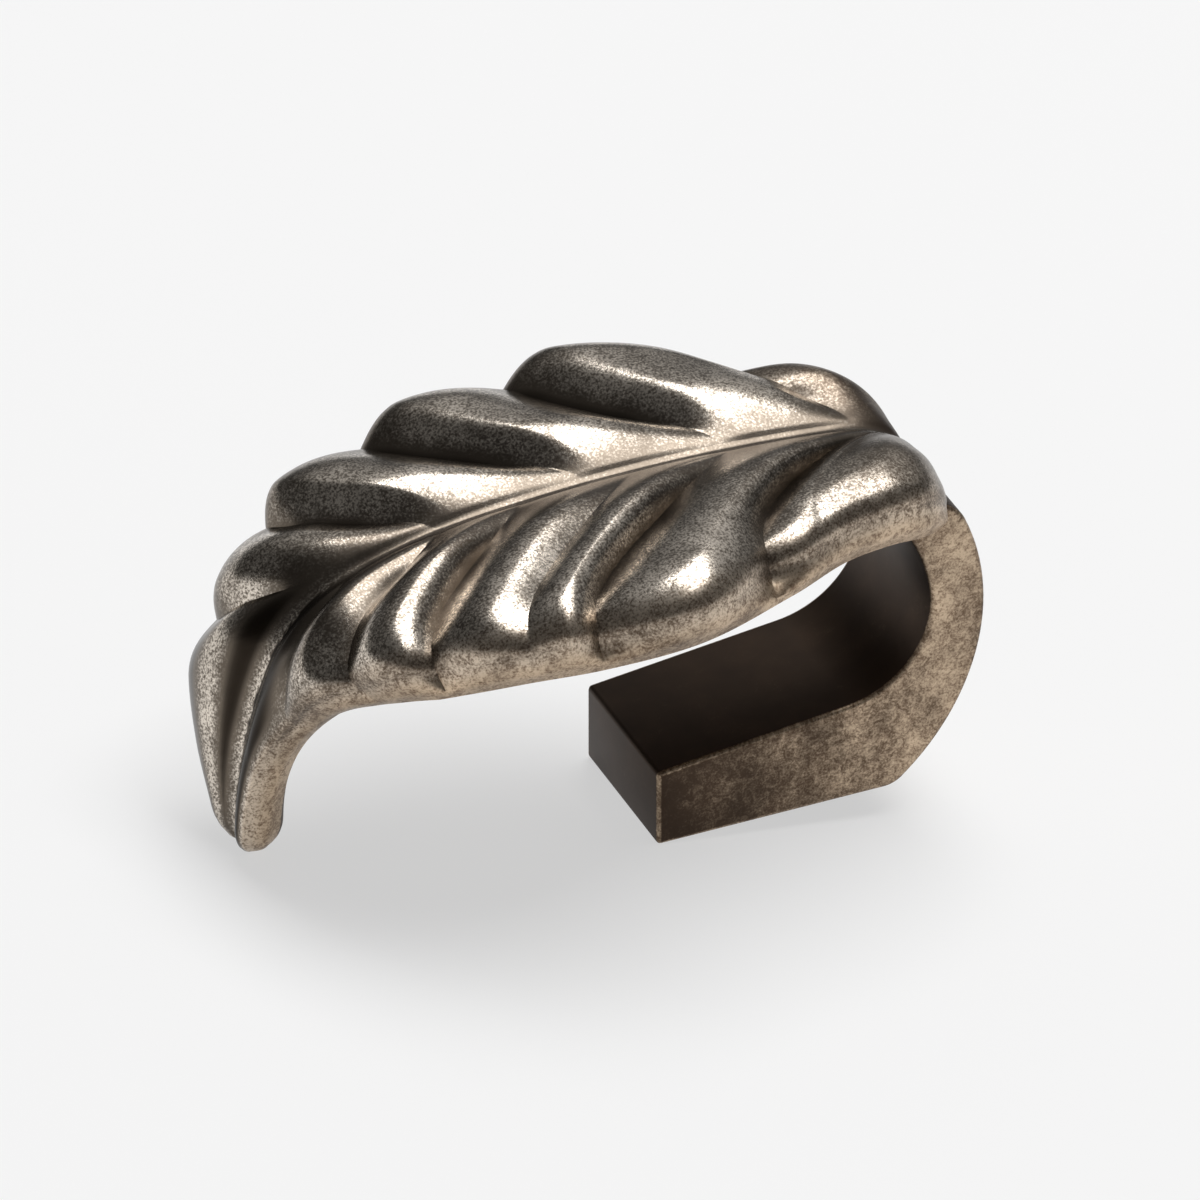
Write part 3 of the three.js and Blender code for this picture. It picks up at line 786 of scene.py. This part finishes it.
table_surface = add_node(
    table_tree, "ShaderNodeMixShader", {0: share, 1: table_shader.outputs["BSDF"], 2: glow}
).outputs["Shader"]
table_tree.links.new(table_surface, table_tree.nodes["Material Output"].inputs["Surface"])
table.data.materials.append(table_material)


# Light
# One wide softbox hangs high behind the leaf, and its image makes the bright bands of the metal.
# The studio is dim but for a pale glow, as of a lit wall, behind the leaf and below the softbox.
SOFTBOX_AZIMUTH = math.radians(66)
SOFTBOX_ELEVATION = math.radians(69)
SOFTBOX_DISTANCE = 1.6
SOFTBOX_HALF_WIDTH_ANGLE = math.radians(24)
SOFTBOX_HALF_HEIGHT_ANGLE = math.radians(16)
SOFTBOX_RADIANCE = 5.8
STUDIO_DIM = 0.1
GLOW_AZIMUTH = math.radians(45)
GLOW_ELEVATION = math.radians(50)
GLOW_LEVEL = 0.42
GLOW_EDGE = 0.55  # cosine of the angle from the glow's middle at which it has died away
GLOW_CORE = 0.95


def towards(azimuth, elevation):
    """A direction, its azimuth counted from +Y towards +X"""
    level = math.cos(elevation)
    return Vector((math.sin(azimuth) * level, math.cos(azimuth) * level, math.sin(elevation)))


to_softbox = towards(SOFTBOX_AZIMUTH, SOFTBOX_ELEVATION)
softbox_width = 2 * SOFTBOX_DISTANCE * math.tan(SOFTBOX_HALF_WIDTH_ANGLE)
softbox_height = 2 * SOFTBOX_DISTANCE * math.tan(SOFTBOX_HALF_HEIGHT_ANGLE)
softbox = bpy.data.objects.new("softbox", bpy.data.lights.new("softbox", "AREA"))
bpy.context.scene.collection.objects.link(softbox)
softbox.data.shape = "RECTANGLE"
softbox.data.size = softbox_width
softbox.data.size_y = softbox_height
softbox.data.energy = SOFTBOX_RADIANCE * math.pi * softbox_width * softbox_height
softbox.location = to_softbox * SOFTBOX_DISTANCE
softbox.rotation_euler = to_softbox.to_track_quat("Z", "Y").to_euler()
softbox.visible_camera = False

world = bpy.data.worlds.new("studio")
bpy.context.scene.world = world
world.use_nodes = True
sky = world.node_tree
outward = add_node(sky, "ShaderNodeTexCoord").outputs["Generated"]
to_glow = towards(GLOW_AZIMUTH, GLOW_ELEVATION)
nearness = add_node(
    sky, "ShaderNodeVectorMath", {0: outward, 1: to_glow}, operation="DOT_PRODUCT"
).outputs["Value"]
studio_level = add_node(
    sky, "ShaderNodeMapRange",
    {
        "Value": nearness, "From Min": GLOW_EDGE, "From Max": GLOW_CORE,
        "To Min": STUDIO_DIM, "To Max": GLOW_LEVEL,
    },
    interpolation_type="SMOOTHSTEP",
).outputs["Result"]
background = sky.nodes["Background"]
background.inputs["Color"].default_value = (1, 1, 1, 1)
sky.links.new(studio_level, background.inputs["Strength"])
bpy.context.scene.view_settings.view_transform = "Standard"
